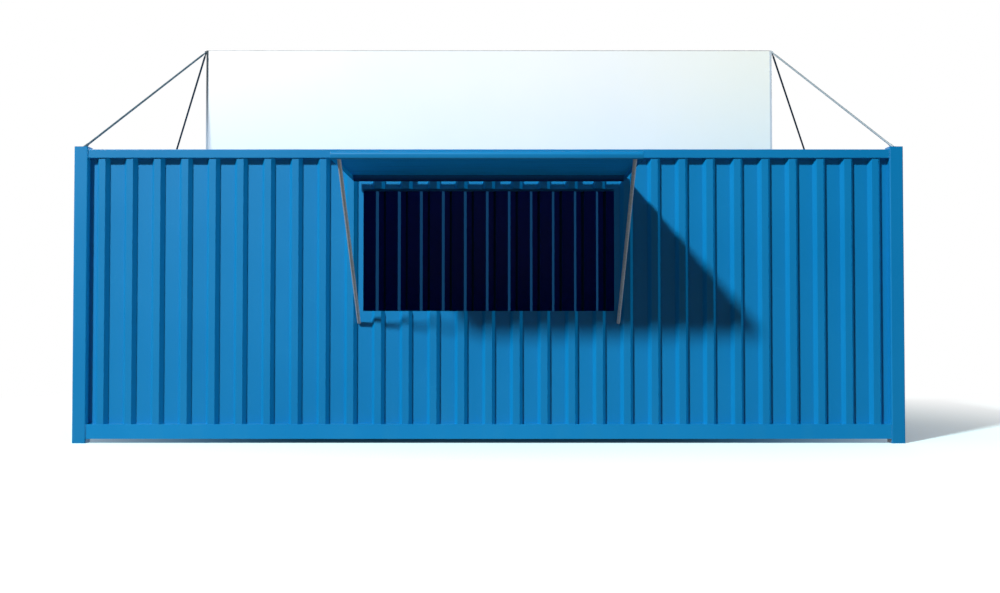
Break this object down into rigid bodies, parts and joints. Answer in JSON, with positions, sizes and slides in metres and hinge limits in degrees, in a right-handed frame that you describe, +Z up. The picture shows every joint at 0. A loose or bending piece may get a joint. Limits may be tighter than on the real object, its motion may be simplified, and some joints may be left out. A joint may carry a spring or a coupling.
{
  "type": "shipping container kiosk",
  "caption": "Corrugated steel shipping container made into a kiosk, with a propped top-hinged serving hatch, end cargo doors and a stayed blank board on its roof.",
  "frame": {"origin": "on the ground, at the middle of the footprint of container and open flap", "axes": "+X to the right along the front, -Y out of the serving hatch, +Z up"},
  "size_m": [7.315, 3.674, 3.778],
  "materials": {
    "container_paint": "satin blue coating, lightly dented sheet",
    "hatch_liner_paint": "plywood painted blue",
    "galvanised_steel": "dull galvanised steel",
    "stay_steel": "dark blue-grey steel bar",
    "board_white": "smooth white foam-core panel",
    "board_aluminium": "satin extrusion",
    "board_edge_steel": "dark steel strip, paler towards its foot",
    "floor_plywood": "varnished plywood",
    "underframe_steel": "dark underseal"
  },
  "bodies": {
    "container": {"board_channel": "board_aluminium", "board_left_trim": "board_edge_steel", "board_right_trim": "board_edge_steel", "board_top_trim": "board_aluminium", "floor_boards": "floor_plywood", "floor_cross_members": "underframe_steel", "front_bottom_rail": "container_paint", "front_left_post": "container_paint", "front_left_stay": "stay_steel", "front_right_post": "container_paint", "front_right_stay": "stay_steel", "front_top_rail": "container_paint", "front_wall_above_hatch": "container_paint", "front_wall_below_hatch": "container_paint", "front_wall_left": "container_paint", "front_wall_right": "container_paint", "hatch_hinges": "container_paint", "left_bottom_rail": "container_paint", "left_end_wall": "container_paint", "left_top_rail": "container_paint", "rear_bottom_rail": "container_paint", "rear_left_post": "container_paint", "rear_left_stay": "stay_steel", "rear_right_post": "container_paint", "rear_right_stay": "stay_steel", "rear_top_rail": "container_paint", "rear_wall": "container_paint", "right_bottom_rail": "container_paint", "right_end_door_front": "container_paint", "right_end_door_hinges": "container_paint", "right_end_door_rear": "container_paint", "right_end_lock_bars": "galvanised_steel", "right_end_lock_fittings": "galvanised_steel", "right_top_rail": "container_paint", "roof": "container_paint", "sign_board": "board_white"},
    "hatch": {"hatch_flap": "container_paint", "hatch_liner": "hatch_liner_paint", "prop_cups": "galvanised_steel"},
    "left_prop_bar": {"left_prop": "galvanised_steel"},
    "right_prop_bar": {"right_prop": "galvanised_steel"}
  },
  "joints": [
    {"name": "hatch_hinge", "type": "hinge", "parent": "container", "child": "hatch", "pos_m": [0, -0.615, 2.311], "axis": [1, 0, 0], "range_deg": [0, 90]},
    {"name": "left_prop_swing", "type": "hinge", "parent": "hatch", "child": "left_prop_bar", "pos_m": [-1.14, -1.782, 2.329], "axis": [-0.6212, -0.4648, 0.6309], "range_deg": [0, 246.2]},
    {"name": "right_prop_swing", "type": "hinge", "parent": "hatch", "child": "right_prop_bar", "pos_m": [1.14, -1.782, 2.329], "axis": [-0.6143, 0.4213, -0.6672], "range_deg": [0, 245.23]}
  ],
  "couplings": [
    {"joint": "left_prop_swing", "follows": "hatch_hinge", "ratio": 2.7354},
    {"joint": "right_prop_swing", "follows": "hatch_hinge", "ratio": 2.7247}
  ]
}
